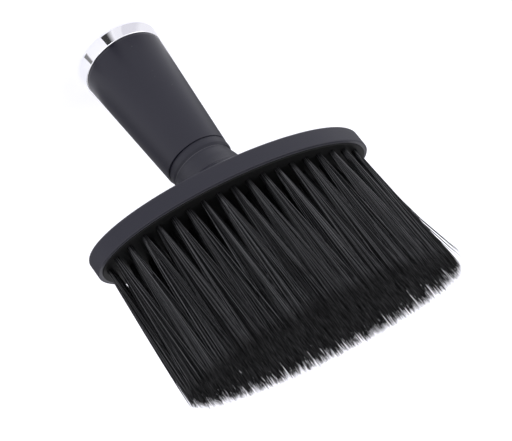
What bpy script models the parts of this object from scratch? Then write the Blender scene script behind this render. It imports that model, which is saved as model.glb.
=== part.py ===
"""Body brush that stands on the chromed end of its handle, with its bristles up.

Frame: metres, +Z up from the flat chromed end towards the bristle tips, +X along the
head's long axis, +Y across the head. The origin is the centre of the chromed end.
"""

import math

import bmesh
import bpy
import numpy as np
from mathutils import Vector

MM = 0.001
GAP = 0.3 * MM  # between pieces that touch on the real brush
SWEEP = 48  # sides of a turned piece that shows
SWEEP_INSIDE = 24  # sides of a turned piece inside the handle

# Handle, from the chromed end up
CHROME_TOP = 5.6 * MM
CHROME_END_R = 17.1 * MM
CHROME_TOP_R = 16.5 * MM
CHROME_BORE_R = 14.5 * MM
CHROME_LIP_R = 12.0 * MM  # inner edge of the flange that the brush stands on
CHROME_LIP_T = 1.3 * MM
CHROME_EDGE = 0.6 * MM  # bevels of the ring
CHROME_FOOT = 1.0 * MM  # height of the ring's widest place
PLUG_FACE = 0.4 * MM  # the plug's face stands this far in from the flange
PLUG_DISC_T = 0.7 * MM  # of the disc, above the flange
PLUG_WALL = 1.6 * MM
CORE_BASE = CHROME_LIP_T + 1.0 * MM
SLEEVE_TOP = 59.3 * MM
SLEEVE_BASE_R = 16.35 * MM
SLEEVE_TOP_R = 12.7 * MM
SLEEVE_WALL = 1.8 * MM
SLEEVE_EDGE = 0.5 * MM
SLEEVE_SHOULDER = 1.6 * MM  # height of the straight band at the foot of the sleeve
CORE_SHOULDER = SLEEVE_TOP - 2.0 * MM  # the core steps in to the post's size here
COLLAR_BASE = 59.9 * MM
COLLAR_TOP = 63.3 * MM
COLLAR_R = 12.4 * MM
COLLAR_BORE_R = 9.9 * MM
COLLAR_EDGE = 0.35 * MM

# Head
NECK_BASE = COLLAR_TOP + GAP
NECK_R = 12.0 * MM
LIP_TOP = 86.6 * MM  # open edge of the cover, on the bristle side
HEAD_A = 57.5 * MM  # half of the head's length
HEAD_B = 23.2 * MM  # half of its width
COVER_WALL = 1.3 * MM
OVAL_SIDES = 48
BLOCK_PROUD = 0.6 * MM  # the tuft block stands this far out of the cover
BLOCK_BASE = 80.9 * MM
BLOCK_EDGE = 0.4 * MM
POST_R = 9.6 * MM
POST_BASE = 60.2 * MM

# Clamp screw and its insert
SCREW_R = 2.5 * MM
SCREW_TIP = 75.0 * MM
HEAD_SEAT = 14.7 * MM  # underside of the screw head
HEAD_H = 3.3 * MM
HEAD_R = 4.7 * MM
HEAD_BEVEL = 0.8 * MM
SOCKET_R = 2.3 * MM
SOCKET_DEPTH = 1.9 * MM
BORE_END = 1.5 * MM  # free bore past the screw's tip
WASHER_R = 5.5 * MM
WASHER_T = 1.0 * MM
COUNTERBORE_R = 6.2 * MM
INSERT_R = 3.6 * MM
INSERT_BASE = 61.5 * MM
INSERT_TOP = 73.5 * MM
INSERT_WAIST = 0.5 * MM  # depth of the groove round its middle
CUT = 1.0 * MM  # cutters run this far past the surface that they open

# Tufts
FACE = LIP_TOP + BLOCK_PROUD  # face of the tuft block
TIP = FACE + 63.2 * MM
HOLE_DEPTH = 5.0 * MM
HOLE_R = 2.05 * MM
ROOT_R = 1.2 * MM  # at the bottom of the hole
OUTER_TUFTS = 38
ROOT_RING = (53.2 * MM, 17.0 * MM)  # half axes of the outer ring at the block's face
TIP_RING = (54.7 * MM, 16.3 * MM)  # and at the tips
KNEE = 0.45  # share of the free length over which a tuft spreads into its neighbours
TUFT_DEPTH = 2.4 * MM  # half of a tuft's depth across the ring, at the tips
INNER_ROWS = 12
ROW_PITCH_ROOT = 8.0 * MM
ROW_PITCH_TIP = 8.5 * MM
LEG_PITCH = 5.8 * MM
ROW_ROOT = (50.0 * MM, 11.4 * MM)  # oval that holds the inner rows at the block's face
ROW_TIP = (51.6 * MM, 13.1 * MM)  # and at the tips
LEG_SPREAD_R = 2.6 * MM
LEG_TOP = FACE + 26.0 * MM
SLAB_BASE = FACE + 21.0 * MM


def clear_scene():
    for obj in list(bpy.data.objects):
        bpy.data.objects.remove(obj, do_unlink=True)


def new_collection(name, hidden=False):
    collection = bpy.data.collections.new(name)
    collection.hide_render = hidden
    bpy.context.scene.collection.children.link(collection)
    return collection


def new_material(name, colour, roughness, metallic=0.0):
    material = bpy.data.materials.new(name)
    material.use_nodes = True
    shader = material.node_tree.nodes["Principled BSDF"]
    shader.inputs["Base Color"].default_value = (*colour, 1.0)
    shader.inputs["Roughness"].default_value = roughness
    shader.inputs["Metallic"].default_value = metallic
    return material


def add_object(name, mesh, material, collection):
    obj = bpy.data.objects.new(name, mesh)
    mesh.materials.append(material)
    collection.objects.link(obj)
    return obj


def shade_round(obj, degrees=35):
    obj.data.shade_smooth()
    obj.data.set_sharp_from_angle(angle=math.radians(degrees))


def turned(name, profile, material, collection, sides=SWEEP, closed=False):
    """A piece turned about Z. The profile is (radius, height), down its outer side first."""
    mesh = bpy.data.meshes.new(name)
    edges = [(i, i + 1) for i in range(len(profile) - 1)]
    if closed:
        edges.append((len(profile) - 1, 0))
    mesh.from_pydata([(r, 0.0, z) for r, z in profile], edges, [])
    obj = add_object(name, mesh, material, collection)
    screw = obj.modifiers.new("Turn", "SCREW")
    screw.axis = "Z"
    screw.steps = sides
    screw.render_steps = sides
    screw.use_merge_vertices = True
    screw.merge_threshold = 0.00001
    screw.use_smooth_shade = True
    return obj


def loft(name, rings, material, collection, capped=True):
    """A surface through rings of the same number of points, with flat caps if it is capped."""
    bm = bmesh.new()
    rows = [[bm.verts.new(point) for point in ring] for ring in rings]
    count = len(rows[0])
    for low, high in zip(rows, rows[1:]):
        for i in range(count):
            j = (i + 1) % count
            bm.faces.new((low[i], low[j], high[j], high[i]))
    if capped:
        bm.faces.new(list(reversed(rows[0])))
        bm.faces.new(rows[-1])
        bmesh.ops.recalc_face_normals(bm, faces=bm.faces)
    mesh = bpy.data.meshes.new(name)
    bm.to_mesh(mesh)
    bm.free()
    obj = add_object(name, mesh, material, collection)
    shade_round(obj)
    return obj


def oval(half_a, half_b, z, count=OVAL_SIDES):
    turns = [2 * math.pi * i / count for i in range(count)]
    return [Vector((half_a * math.cos(t), half_b * math.sin(t), z)) for t in turns]


def add_boolean(obj, other, operation):
    boolean = obj.modifiers.new(operation.title(), "BOOLEAN")
    boolean.operation = operation
    boolean.object = other
    boolean.solver = "EXACT"


def as_cutter(obj):
    obj.hide_render = True
    obj.display_type = "WIRE"
    return obj


def joined_cutter(name, cutters, collection):
    """One cutter made of several that don't touch each other."""
    bm = bmesh.new()
    for cutter in cutters:
        bm.from_mesh(cutter)
        bpy.data.meshes.remove(cutter)
    mesh = bpy.data.meshes.new(name)
    bm.to_mesh(mesh)
    bm.free()
    obj = bpy.data.objects.new(name, mesh)
    collection.objects.link(obj)
    return as_cutter(obj)


def prism_mesh(centre, radius, low, high, sides):
    bm = bmesh.new()
    bmesh.ops.create_cone(
        bm, cap_ends=True, segments=sides, radius1=radius, radius2=radius, depth=high - low
    )
    bmesh.ops.translate(bm, verts=bm.verts, vec=(centre.x, centre.y, (low + high) / 2))
    mesh = bpy.data.meshes.new("prism")
    bm.to_mesh(mesh)
    bm.free()
    return mesh


def sleeve_radius(z):
    share = (z - CHROME_TOP) / (SLEEVE_TOP - CHROME_TOP)
    return SLEEVE_BASE_R + share * (SLEEVE_TOP_R - SLEEVE_BASE_R)


def make_chrome_ring(material, parts):
    """The plated ring with the flange that the brush stands on."""
    half_edge = CHROME_EDGE / 2
    profile = [
        (CHROME_BORE_R, CHROME_TOP),
        (CHROME_TOP_R - half_edge, CHROME_TOP),
        (CHROME_TOP_R, CHROME_TOP - half_edge),
        (CHROME_END_R, CHROME_FOOT),
        (CHROME_END_R - half_edge / 2, half_edge),
        (CHROME_END_R - CHROME_EDGE, 0.0),
        (CHROME_LIP_R, 0.0),
        (CHROME_LIP_R, CHROME_LIP_T),
        (CHROME_BORE_R, CHROME_LIP_T),
    ]
    return turned("chrome_ring", profile, material, parts, closed=True)


def make_end_plug(material, parts):
    """The black disc inside the ring, with the stem that snaps into the handle core."""
    disc_top = CHROME_LIP_T + PLUG_DISC_T
    disc_r = CHROME_LIP_R - GAP
    disc_edge = 0.4 * MM
    stem_r = COUNTERBORE_R - GAP
    stem_top = HEAD_SEAT - HEAD_H - 2.0 * MM
    profile = [
        (0.0, disc_top + PLUG_WALL),
        (stem_r - PLUG_WALL, disc_top + PLUG_WALL),
        (stem_r - PLUG_WALL, stem_top),
        (stem_r, stem_top),
        (stem_r, disc_top),
        (disc_r, disc_top),
        (disc_r, PLUG_FACE + disc_edge),
        (disc_r - disc_edge, PLUG_FACE),
        (0.0, PLUG_FACE),
    ]
    return turned("end_plug", profile, material, parts, SWEEP_INSIDE)


def make_handle_core(material, parts):
    """The inner core that carries the sleeve and the ring, bored for the clamp screw."""
    foot_r = CHROME_BORE_R - GAP
    top = POST_BASE - GAP
    seat = HEAD_SEAT + WASHER_T + 2 * GAP
    bore_r = SCREW_R + GAP
    profile = [
        (bore_r, top),
        (POST_R, top),
        (POST_R, CORE_SHOULDER),
        (sleeve_radius(CORE_SHOULDER) - SLEEVE_WALL - GAP, CORE_SHOULDER),
        (foot_r, CHROME_TOP + GAP),
        (foot_r, CORE_BASE),
        (COUNTERBORE_R, CORE_BASE),
        (COUNTERBORE_R, seat),
        (bore_r, seat),
    ]
    return turned("handle_core", profile, material, parts, SWEEP_INSIDE, closed=True)


def make_handle_sleeve(material, parts):
    """The tapered soft-touch grip. Its bore leaves a gap to the core's flats."""
    base = CHROME_TOP + GAP
    bore_gap = GAP / 2  # clears the corners of the core's sides
    shoulder = base + SLEEVE_SHOULDER
    profile = [
        (SLEEVE_TOP_R - SLEEVE_WALL + bore_gap, SLEEVE_TOP),
        (SLEEVE_TOP_R - SLEEVE_EDGE, SLEEVE_TOP),
        (SLEEVE_TOP_R, SLEEVE_TOP - SLEEVE_EDGE),
        (sleeve_radius(shoulder), shoulder),
        (SLEEVE_BASE_R, base + SLEEVE_SHOULDER / 2),
        (SLEEVE_BASE_R - SLEEVE_EDGE, base),
        (sleeve_radius(base) - SLEEVE_WALL + bore_gap, base),
    ]
    return turned("handle_sleeve", profile, material, parts, closed=True)


def make_neck_collar(material, parts):
    """The loose ring between the grip and the neck."""
    profile = [
        (COLLAR_BORE_R, COLLAR_TOP),
        (COLLAR_R - COLLAR_EDGE, COLLAR_TOP),
        (COLLAR_R, COLLAR_TOP - COLLAR_EDGE),
        (COLLAR_R, COLLAR_BASE + COLLAR_EDGE),
        (COLLAR_R - COLLAR_EDGE, COLLAR_BASE),
        (COLLAR_BORE_R, COLLAR_BASE),
    ]
    return turned("neck_collar", profile, material, parts, closed=True)


def cover_sections():
    """(height, half length, half width) of the cover, from the neck down its flare to the lip."""
    neck = [(0.0, 0.0), (0.6, 0.0), (2.0, 0.35), (4.0, 1.0), (6.4, 1.6), (8.8, 2.5)]
    sections = [(NECK_BASE + z * MM, NECK_R + r * MM, NECK_R + r * MM) for z, r in neck]
    crown = [
        (12.6, 41.0, 7.2),
        (11.0, 37.0, 6.0),
        (10.0, 26.0, 4.4),
        (9.0, 14.0, 2.7),
        (8.3, 5.0, 1.5),
        (7.9, 1.1, 0.9),
        (7.5, 0.3, 0.3),
        (6.7, 0.0, 0.0),
        (0.0, 0.0, 0.0),
    ]
    for below_lip, short_a, short_b in crown:
        section = (LIP_TOP - below_lip * MM, HEAD_A - short_a * MM, HEAD_B - short_b * MM)
        sections.append(section)
    return sections


def make_head_cover(material, parts):
    """The oval cover and its neck: one thin moulded shell, open on the bristle side."""
    rings = [oval(a, b, z) for z, a, b in cover_sections()]
    cover = loft("head_cover", rings, material, parts, capped=False)
    wall = cover.modifiers.new("Wall", "SOLIDIFY")
    wall.thickness = COVER_WALL
    wall.offset = -1.0
    wall.use_even_offset = True
    wall.use_rim = True
    return cover


def ring_points(half_axes, shares):
    """Points of an oval at shares of its length round, each with its outward direction."""
    half_a, half_b = half_axes
    turns = np.linspace(0.0, 2 * math.pi, 4001)
    steps = np.hypot(-half_a * np.sin(turns), half_b * np.cos(turns))
    run = np.concatenate([[0.0], np.cumsum((steps[1:] + steps[:-1]) / 2)])
    points = []
    for turn in np.interp(np.mod(shares, 1.0), run / run[-1], turns):
        x, y = half_a * math.cos(turn), half_b * math.sin(turn)
        outward = Vector((x / half_a**2, y / half_b**2, 0.0)).normalized()
        points.append((Vector((x, y, 0.0)), outward))
    return points


def ring_length(half_axes):
    half_a, half_b = half_axes
    turns = np.linspace(0.0, 2 * math.pi, 4001)
    return float(np.mean(np.hypot(half_a * np.sin(turns), half_b * np.cos(turns))) * 2 * math.pi)


def root_ring(centre, outward, radius, z):
    """Eight points round a tuft's root, in the order that cell_ring uses."""
    along = Vector((outward.y, -outward.x, 0.0))
    angles = [math.radians(112.5 - 45.0 * i) for i in range(8)]
    return [
        centre + radius * (math.cos(a) * along + math.sin(a) * outward) + Vector((0, 0, z))
        for a in angles
    ]


def cell_ring(half_axes, share, fill, depth, z):
    """Eight points round one tuft's share of the ring: a cell with its corners cut off."""
    trim = (0.5 * fill) / OUTER_TUFTS - 0.2 * MM / ring_length(half_axes)
    (late, out_late), (early, out_early) = ring_points(half_axes, [share - trim, share + trim])
    corners = [
        early + depth * out_early,
        late + depth * out_late,
        late - depth * out_late,
        early - depth * out_early,
    ]
    cut = 0.2
    points = []
    for i, corner in enumerate(corners):
        following = corners[(i + 1) % 4]
        points.append(corner.lerp(following, cut))
        points.append(corner.lerp(following, 1 - cut))
    return [point + Vector((0, 0, z)) for point in points]


def outer_tuft_shares():
    return [i / OUTER_TUFTS for i in range(OUTER_TUFTS)]


def make_outer_tuft(number, share, material, parts):
    """One tuft of the outer ring: round in its hole, spreading until it meets its neighbours."""
    centre, outward = ring_points(ROOT_RING, [share])[0]
    knee_ring = [r + KNEE * (t - r) for r, t in zip(ROOT_RING, TIP_RING)]
    knee_z = FACE + KNEE * (TIP - FACE)
    rings = [
        root_ring(centre, outward, ROOT_R, FACE - HOLE_DEPTH + GAP),
        cell_ring(knee_ring, share, 0.9, 0.8 * TUFT_DEPTH, knee_z),
        cell_ring(TIP_RING, share, 1.0, TUFT_DEPTH, TIP),
    ]
    return loft(f"outer_tuft_{number:02d}", rings, material, parts)


def row_centre(number, pitch):
    return (number - (INNER_ROWS - 1) / 2) * pitch


def half_width_at(half_axes, x):
    """Half the width of an oval at x."""
    half_a, half_b = half_axes
    return half_b * math.sqrt(max(0.0, 1 - (x / half_a) ** 2))


def leg_places(number):
    """Where the tufts of one inner row stand on the block's face."""
    x = row_centre(number, ROW_PITCH_ROOT)
    room = half_width_at(ROW_ROOT, abs(x)) - LEG_SPREAD_R / 2
    count = max(1, int(2 * room / LEG_PITCH) + 1)
    return [Vector((x, (i - (count - 1) / 2) * LEG_PITCH, 0.0)) for i in range(count)]


def make_inner_row(number, material, parts, cutters):
    """A row of inner tufts that runs across the head and closes up towards the tips."""
    x_root = row_centre(number, ROW_PITCH_ROOT)
    x_tip = row_centre(number, ROW_PITCH_TIP)
    half_tip = ROW_PITCH_TIP / 2 - GAP
    places = leg_places(number)
    reach = max(abs(place.y) for place in places) + 0.8 * LEG_SPREAD_R
    share = (SLAB_BASE - FACE) / (TIP - FACE)
    x_base = x_root + share * (x_tip - x_root)
    y_tip = half_width_at(ROW_TIP, abs(x_tip) + half_tip)
    y_base = min(reach, y_tip)
    rings = []
    for x, half_x, half_y, z in (
        (x_base, 1.7 * MM, y_base, SLAB_BASE),
        (x_tip, half_tip, y_tip, TIP),
    ):
        cut = 0.3 * half_x
        rings.append(
            [
                Vector((x + sx * (half_x - cx), sy * (half_y - cy), z))
                for sx, sy, cx, cy in (
                    (-1, -1, 0, cut),
                    (-1, -1, cut, 0),
                    (1, -1, cut, 0),
                    (1, -1, 0, cut),
                    (1, 1, 0, cut),
                    (1, 1, cut, 0),
                    (-1, 1, cut, 0),
                    (-1, 1, 0, cut),
                )
            ]
        )
    row = loft(f"inner_tufts_{number + 1:02d}", rings, material, parts)
    for i, place in enumerate(places):
        lean = Vector((x_base - x_root, 0.0, 0.0)) * (LEG_TOP - FACE) / (SLAB_BASE - FACE)
        leg_rings = []
        for radius, z, shift in (
            (ROOT_R, FACE - HOLE_DEPTH + GAP, Vector()),
            (ROOT_R + 0.25 * MM, FACE, Vector()),
            (LEG_SPREAD_R, LEG_TOP, lean),
        ):
            leg_rings.append(
                [
                    place
                    + shift
                    + Vector((radius * math.cos(a), radius * math.sin(a), z))
                    for a in (math.radians(60 * k + 30) for k in range(6))
                ]
            )
        leg = loft(f"leg_{number}_{i}", leg_rings, material, cutters)
        add_boolean(row, as_cutter(leg), "UNION")
    return row


def make_tuft_block(material, parts, cutters):
    """The oval block that holds the tufts, with the post that fills the neck."""
    half_a = HEAD_A - COVER_WALL - GAP
    half_b = HEAD_B - COVER_WALL - GAP
    rings = [
        oval(half_a - 3 * BLOCK_EDGE, half_b - 3 * BLOCK_EDGE, BLOCK_BASE),
        oval(half_a, half_b, BLOCK_BASE + 2 * BLOCK_EDGE),
        oval(half_a, half_b, FACE - BLOCK_EDGE),
        oval(half_a - BLOCK_EDGE, half_b - BLOCK_EDGE, FACE),
    ]
    block = loft("tuft_block", rings, material, parts)
    post = turned(
        "post",
        [
            (0.0, BLOCK_BASE + CUT),
            (POST_R, BLOCK_BASE + CUT),
            (POST_R, POST_BASE),
            (0.0, POST_BASE),
        ],
        material,
        cutters,
        SWEEP_INSIDE,
    )
    add_boolean(block, as_cutter(post), "UNION")
    bore = turned(
        "insert_bore",
        [
            (0.0, SCREW_TIP + BORE_END),
            (SCREW_R + GAP, SCREW_TIP + BORE_END),
            (SCREW_R + GAP, INSERT_TOP + GAP),
            (INSERT_R + GAP, INSERT_TOP + GAP),
            (INSERT_R + GAP, POST_BASE - CUT),
            (0.0, POST_BASE - CUT),
        ],
        material,
        cutters,
        SWEEP_INSIDE,
    )
    add_boolean(block, as_cutter(bore), "DIFFERENCE")
    places = [centre for centre, _ in ring_points(ROOT_RING, outer_tuft_shares())]
    for number in range(INNER_ROWS):
        places.extend(leg_places(number))
    holes = [prism_mesh(p, HOLE_R, FACE - HOLE_DEPTH, FACE + CUT, 6) for p in places]
    add_boolean(block, joined_cutter("tuft_holes", holes, cutters), "DIFFERENCE")
    return block


def make_clamp_screw(material, parts, cutters):
    """The long socket screw that pulls the handle, the collar and the cover on to the block."""
    head_base = HEAD_SEAT - HEAD_H
    profile = [
        (0.0, SCREW_TIP),
        (SCREW_R - HEAD_BEVEL, SCREW_TIP),
        (SCREW_R, SCREW_TIP - HEAD_BEVEL),
        (SCREW_R, HEAD_SEAT),
        (HEAD_R, HEAD_SEAT),
        (HEAD_R, head_base + HEAD_BEVEL),
        (HEAD_R - HEAD_BEVEL, head_base),
        (0.0, head_base),
    ]
    screw = turned("clamp_screw", profile, material, parts, SWEEP_INSIDE)
    socket = prism_mesh(Vector(), SOCKET_R, head_base - CUT, head_base + SOCKET_DEPTH, 6)
    add_boolean(screw, joined_cutter("screw_socket", [socket], cutters), "DIFFERENCE")
    return screw


def make_washer(material, parts):
    base = HEAD_SEAT + GAP
    bore_r = SCREW_R + GAP
    profile = [
        (bore_r, base + WASHER_T),
        (WASHER_R, base + WASHER_T),
        (WASHER_R, base),
        (bore_r, base),
    ]
    return turned("screw_washer", profile, material, parts, SWEEP_INSIDE, closed=True)


def make_insert(material, parts):
    """The brass insert in the block's post that the clamp screw bites."""
    bore_r = SCREW_R + GAP
    waist_r = INSERT_R - INSERT_WAIST
    middle = (INSERT_BASE + INSERT_TOP) / 2
    profile = [
        (bore_r, INSERT_TOP),
        (INSERT_R, INSERT_TOP),
        (INSERT_R, middle + 2 * INSERT_WAIST),
        (waist_r, middle + INSERT_WAIST),
        (waist_r, middle - INSERT_WAIST),
        (INSERT_R, middle - 2 * INSERT_WAIST),
        (INSERT_R, INSERT_BASE),
        (bore_r, INSERT_BASE),
    ]
    return turned("threaded_insert", profile, material, parts, SWEEP_INSIDE, closed=True)


def main():
    clear_scene()
    parts = new_collection("body_brush")
    cutters = new_collection("cutters", hidden=True)
    grip = new_material("soft_touch_black", (0.045, 0.045, 0.055), 0.55)
    shell = new_material("moulded_black", (0.045, 0.045, 0.055), 0.5)
    inner = new_material("inner_plastic", (0.02, 0.02, 0.02), 0.6)
    chrome = new_material("chrome", (0.85, 0.85, 0.88), 0.06, 1.0)
    steel = new_material("zinc_steel", (0.6, 0.6, 0.62), 0.3, 1.0)
    brass = new_material("brass", (0.75, 0.6, 0.3), 0.3, 1.0)
    nylon = new_material("black_nylon", (0.02, 0.02, 0.022), 0.4)

    make_chrome_ring(chrome, parts)
    make_end_plug(inner, parts)
    make_handle_core(inner, parts)
    make_handle_sleeve(grip, parts)
    make_neck_collar(shell, parts)
    make_head_cover(shell, parts)
    make_tuft_block(inner, parts, cutters)
    make_clamp_screw(steel, parts, cutters)
    make_washer(steel, parts)
    make_insert(brass, parts)
    for number, share in enumerate(outer_tuft_shares(), start=1):
        make_outer_tuft(number, share, nylon, parts)
    for number in range(INNER_ROWS):
        make_inner_row(number, nylon, parts, cutters)


main()
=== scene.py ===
"""Looks of a body brush that stands on the chromed end of its handle, bristles up.

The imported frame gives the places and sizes. This script builds the fine surfaces round it:
the turned handle parts, the moulded head, the tuft block and the filaments of every tuft.
"""

from __future__ import annotations

import logging
import math
from dataclasses import dataclass, field
from enum import Enum
from typing import Any, Iterable, Sequence

import bmesh
import bpy
import numpy as np
from mathutils import Matrix, Vector


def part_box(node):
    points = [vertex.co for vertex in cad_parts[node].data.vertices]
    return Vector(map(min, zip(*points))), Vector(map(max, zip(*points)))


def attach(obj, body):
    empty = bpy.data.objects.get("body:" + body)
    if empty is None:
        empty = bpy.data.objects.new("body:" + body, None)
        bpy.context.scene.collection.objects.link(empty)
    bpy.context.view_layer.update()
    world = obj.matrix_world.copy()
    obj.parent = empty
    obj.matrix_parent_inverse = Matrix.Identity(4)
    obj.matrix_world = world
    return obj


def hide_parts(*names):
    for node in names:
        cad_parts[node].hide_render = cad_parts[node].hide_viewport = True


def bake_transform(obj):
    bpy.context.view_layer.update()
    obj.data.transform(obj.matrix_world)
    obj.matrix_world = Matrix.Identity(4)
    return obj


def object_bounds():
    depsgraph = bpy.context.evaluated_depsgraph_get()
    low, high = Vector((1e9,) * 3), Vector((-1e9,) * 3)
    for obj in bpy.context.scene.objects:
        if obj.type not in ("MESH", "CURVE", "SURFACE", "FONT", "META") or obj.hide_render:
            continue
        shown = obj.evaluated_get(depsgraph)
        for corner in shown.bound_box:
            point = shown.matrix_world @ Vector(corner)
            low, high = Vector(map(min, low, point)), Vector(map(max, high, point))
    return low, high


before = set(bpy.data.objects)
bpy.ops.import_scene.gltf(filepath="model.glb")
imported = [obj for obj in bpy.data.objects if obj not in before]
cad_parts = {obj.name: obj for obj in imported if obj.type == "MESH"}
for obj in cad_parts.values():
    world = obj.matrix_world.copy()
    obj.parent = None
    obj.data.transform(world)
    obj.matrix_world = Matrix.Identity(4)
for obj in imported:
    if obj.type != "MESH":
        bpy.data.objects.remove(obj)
cad_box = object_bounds()

MM = 0.001
log = logging.getLogger("body_brush")

Pair = tuple[float, float]
Triple = tuple[float, float, float]
Colour = Triple
Profile = list[Pair]


class Body(Enum):
    """The two moving bodies of the frame."""

    HEAD = "head"
    BRISTLES = "bristles"


class Slot(Enum):
    """The record's material slots."""

    GRIP = "soft_touch_grip"
    SHELL = "moulded_shell"
    INNER = "inner_plastic"
    CHROME = "chrome"
    STEEL = "zinc_steel"
    BRASS = "brass"
    BRISTLES = "bristles"


# ---------------------------------------------------------------------------------------------
# Shader sheets
# ---------------------------------------------------------------------------------------------


class Value:
    """A number socket on a sheet, with arithmetic that adds Math nodes."""

    def __init__(self, sheet: "Sheet", socket: bpy.types.NodeSocket) -> None:
        """Wraps one output socket."""
        self.sheet = sheet
        self.socket = socket

    def _maths(self, operation: str, *terms: Any) -> "Value":
        """Adds a Math node that works on the terms."""
        node = self.sheet.node(
            "ShaderNodeMath", {"operation": operation}, dict(enumerate(terms))
        )
        return Value(self.sheet, node.outputs[0])

    def __add__(self, other: Any) -> "Value":
        """self + other."""
        return self._maths("ADD", self, other)

    def __radd__(self, other: Any) -> "Value":
        """other + self."""
        return self._maths("ADD", other, self)

    def __sub__(self, other: Any) -> "Value":
        """self - other."""
        return self._maths("SUBTRACT", self, other)

    def __rsub__(self, other: Any) -> "Value":
        """other - self."""
        return self._maths("SUBTRACT", other, self)

    def __mul__(self, other: Any) -> "Value":
        """self * other."""
        return self._maths("MULTIPLY", self, other)

    def __rmul__(self, other: Any) -> "Value":
        """other * self."""
        return self._maths("MULTIPLY", other, self)

    def __pow__(self, other: Any) -> "Value":
        """self to the power of other."""
        return self._maths("POWER", self, other)

    def __rpow__(self, other: Any) -> "Value":
        """other to the power of self."""
        return self._maths("POWER", other, self)

    def clamped(self) -> "Value":
        """self, held between 0 and 1."""
        return self._maths("MINIMUM", self._maths("MAXIMUM", self, 0.0), 1.0)

    def above(self, level: float, steepness: float) -> "Value":
        """0 up to a level, and from there a rise to 1."""
        return ((self - level) * steepness).clamped()

    def swing(self, amount: float) -> "Value":
        """self, which runs from 0 to 1, as a swing to either side of 0."""
        return (self - 0.5) * amount


class Sheet:
    """The node tree of one material."""

    def __init__(self, name: str) -> None:
        """Starts a material with a Principled shader.

        Args:
            name: The material's name.
        """
        self.material = bpy.data.materials.new(name)
        self.material.use_nodes = True
        self.tree = self.material.node_tree
        self.shader = self.tree.nodes["Principled BSDF"]

    def node(
        self, kind: str, settings: dict[str, Any] | None = None, inputs: dict[Any, Any] | None = None
    ) -> bpy.types.Node:
        """Makes any node.

        Args:
            kind: The node's type.
            settings: The node's own properties, such as a Math node's operation, set first.
            inputs: Values, or links as Value or socket, by input name or number.

        Returns:
            The new node.
        """
        node = self.tree.nodes.new(kind)
        for name, value in (settings or {}).items():
            setattr(node, name, value)
        for key, value in (inputs or {}).items():
            self.feed(node.inputs[key], value)
        return node

    def feed(self, socket: bpy.types.NodeSocket, value: Any) -> None:
        """Links a Value or a socket to an input, or sets a plain value on it.

        Args:
            socket: The input.
            value: What goes into it.
        """
        if isinstance(value, Value):
            value = value.socket
        if isinstance(value, bpy.types.NodeSocket):
            self.tree.links.new(value, socket)
        else:
            socket.default_value = value

    def place(self) -> bpy.types.NodeSocket:
        """The piece's own coordinates."""
        return self.node("ShaderNodeTexCoord").outputs["Object"]

    def noise(self, scale: float, detail: float = 2.0, stretch: Sequence[float] = (1, 1, 1)) -> Value:
        """Noise in the piece's own coordinates.

        Args:
            scale: Repeats per metre.
            detail: Octaves.
            stretch: How much finer the noise is along each axis.

        Returns:
            The noise, about 0 to 1.
        """
        scaled = self.node("ShaderNodeVectorMath", {"operation": "MULTIPLY"}, {0: self.place(), 1: stretch})
        noise = self.node(
            "ShaderNodeTexNoise",
            {"noise_dimensions": "3D"},
            {"Vector": scaled.outputs[0], "Scale": scale, "Detail": detail},
        )
        return Value(self, noise.outputs[0])

    def grain(self, scale: float) -> Value:
        """Fine pits, as distance to the nearest cell centre."""
        cells = self.node("ShaderNodeTexVoronoi", {}, {"Vector": self.place(), "Scale": scale})
        return Value(self, cells.outputs["Distance"])

    def specks(self, scale: float, level: float, steepness: float = 30.0) -> Value:
        """Scattered specks of dust, where plain noise passes a level."""
        return self.noise(scale, 0.0).above(level, steepness)

    def attribute(self, name: str) -> Value:
        """A number stored on the mesh."""
        node = self.node("ShaderNodeAttribute", {"attribute_name": name})
        return Value(self, node.outputs["Fac"])

    def edges(self, level: float = 0.515, steepness: float = 14.0) -> Value:
        """1 on convex edges, where the pointiness passes a level, and 0 elsewhere."""
        node = self.node("ShaderNodeNewGeometry")
        return Value(self, node.outputs["Pointiness"]).above(level, steepness)

    def blend(self, share: Any, first: Any, second: Any) -> bpy.types.NodeSocket:
        """A colour between two colours.

        Args:
            share: 0 for the first colour, 1 for the second.
            first: Colour or socket.
            second: Colour or socket.

        Returns:
            The mixed colour.
        """
        ends = [(*c, 1.0) if isinstance(c, tuple) else c for c in (first, second)]
        node = self.node(
            "ShaderNodeMix", {"data_type": "RGBA"}, {0: share, 6: ends[0], 7: ends[1]}
        )
        return node.outputs[2]

    def bump(self, height: Value, depth: float, strength: float) -> None:
        """Feeds the shader's normal from a height.

        Args:
            height: The height, 0 to 1.
            depth: What a height of 1 stands for, in metres.
            strength: Share of the effect.
        """
        node = self.node("ShaderNodeBump", {}, {"Strength": strength, "Distance": depth, "Height": height})
        self.feed(self.shader.inputs["Normal"], node.outputs["Normal"])

    def set(self, **sockets: Any) -> bpy.types.Material:
        """Sets or links the shader's inputs.

        Args:
            sockets: Values or links by input name, with underscores for spaces.

        Returns:
            The finished material.
        """
        for name, value in sockets.items():
            socket = self.shader.inputs[name.replace("_", " ")]
            self.feed(socket, (*value, 1.0) if isinstance(value, tuple) and len(value) == 3 else value)
        return self.material


# ---------------------------------------------------------------------------------------------
# Finishes
# ---------------------------------------------------------------------------------------------


def grey(level: float) -> Colour:
    """A neutral colour."""
    return (level, level, level)


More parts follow.
